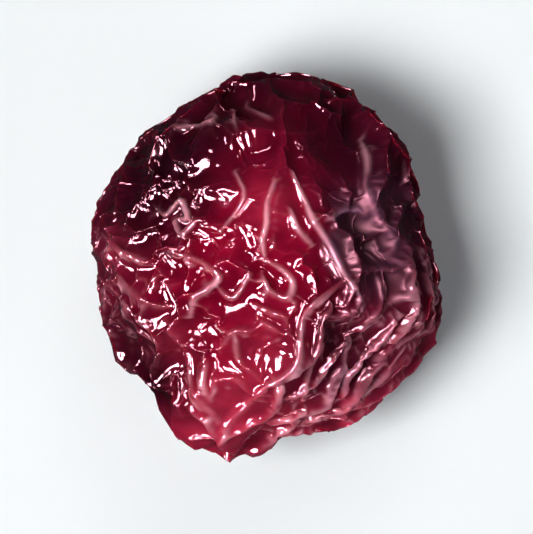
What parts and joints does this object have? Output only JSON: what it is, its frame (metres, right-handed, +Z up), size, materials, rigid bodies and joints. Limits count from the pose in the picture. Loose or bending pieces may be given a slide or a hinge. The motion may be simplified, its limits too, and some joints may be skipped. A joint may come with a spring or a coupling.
{
  "type": "dried cherry",
  "caption": "Pitted sour cherry, dried and wrinkled, lying on its side with the stem end to the front.",
  "frame": {"origin": "centre of the bounding box in plan, on the surface that the fruit rests on", "axes": "+Z up, +Y from the stem end towards the blossom end, +X to the right as seen from above"},
  "size_m": [0.0146, 0.0164, 0.011],
  "materials": {
    "skin": "wine-red dried fruit skin, half gloss, wrinkled"
  },
  "bodies": {
    "root": {"dried_cherry": "skin"}
  },
  "joints": []
}
